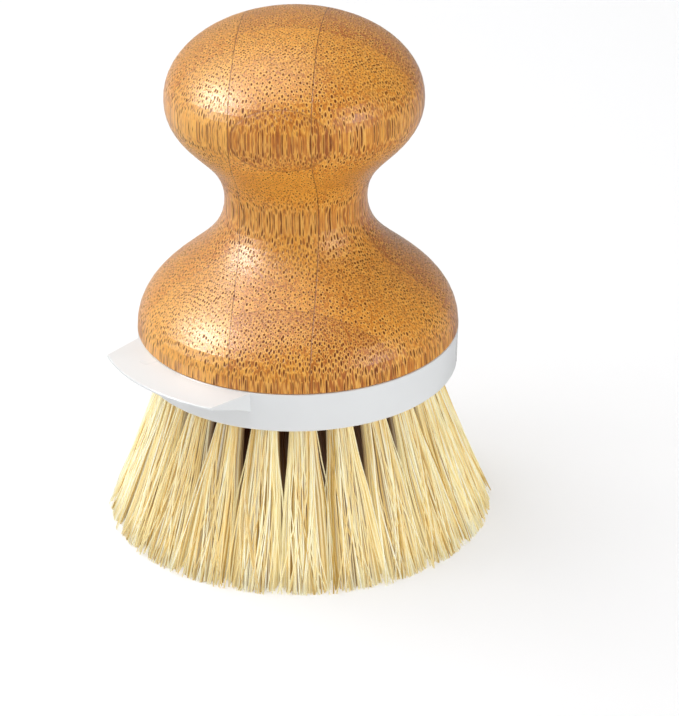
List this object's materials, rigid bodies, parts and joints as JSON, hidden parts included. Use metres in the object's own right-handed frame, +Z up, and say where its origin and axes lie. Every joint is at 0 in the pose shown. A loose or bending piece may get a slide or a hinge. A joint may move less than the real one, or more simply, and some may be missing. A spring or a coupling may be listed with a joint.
{
  "type": "dish brush",
  "caption": "Round hand brush for dishes: a turned bamboo knob handle, a white ring with a scraper tab and a flared head of plant-fibre tufts.",
  "frame": {"origin": "on the axis of the turned handle, in the plane of the trimmed tuft tips that the brush stands on", "axes": "+Z up along the axis of the handle, towards the knob; the scraper tab points to -Y"},
  "size_m": [0.0842, 0.0856, 0.1144],
  "materials": {
    "bamboo": "satin varnish",
    "white_plastic": "gloss",
    "plant_fibre": "dry fibre",
    "staple_wire": "flattened wire"
  },
  "bodies": {
    "root": {"handle": "bamboo", "scraper_ring": "white_plastic", "staples": "staple_wire", "tuft_outer_01": "plant_fibre", "tuft_outer_02": "plant_fibre", "tuft_outer_03": "plant_fibre", "tuft_outer_04": "plant_fibre", "tuft_outer_05": "plant_fibre", "tuft_outer_06": "plant_fibre", "tuft_outer_07": "plant_fibre", "tuft_outer_08": "plant_fibre", "tuft_outer_09": "plant_fibre", "tuft_outer_10": "plant_fibre", "tuft_outer_11": "plant_fibre", "tuft_outer_12": "plant_fibre", "tuft_outer_13": "plant_fibre", "tuft_outer_14": "plant_fibre", "tuft_outer_15": "plant_fibre", "tuft_outer_16": "plant_fibre", "tuft_outer_17": "plant_fibre", "tuft_outer_18": "plant_fibre", "tuft_outer_19": "plant_fibre", "tuft_outer_20": "plant_fibre", "tuft_outer_21": "plant_fibre", "tuft_outer_22": "plant_fibre", "tuft_second_01": "plant_fibre", "tuft_second_02": "plant_fibre", "tuft_second_03": "plant_fibre", "tuft_second_04": "plant_fibre", "tuft_second_05": "plant_fibre", "tuft_second_06": "plant_fibre", "tuft_second_07": "plant_fibre", "tuft_second_08": "plant_fibre", "tuft_second_09": "plant_fibre", "tuft_second_10": "plant_fibre", "tuft_second_11": "plant_fibre", "tuft_second_12": "plant_fibre", "tuft_second_13": "plant_fibre", "tuft_second_14": "plant_fibre", "tuft_second_15": "plant_fibre", "tuft_second_16": "plant_fibre", "tuft_third_01": "plant_fibre", "tuft_third_02": "plant_fibre", "tuft_third_03": "plant_fibre", "tuft_third_04": "plant_fibre", "tuft_third_05": "plant_fibre", "tuft_third_06": "plant_fibre", "tuft_third_07": "plant_fibre", "tuft_third_08": "plant_fibre", "tuft_third_09": "plant_fibre", "tuft_third_10": "plant_fibre", "tuft_inner_01": "plant_fibre", "tuft_inner_02": "plant_fibre", "tuft_inner_03": "plant_fibre", "tuft_inner_04": "plant_fibre", "tuft_inner_05": "plant_fibre", "tuft_centre_01": "plant_fibre"}
  },
  "joints": []
}
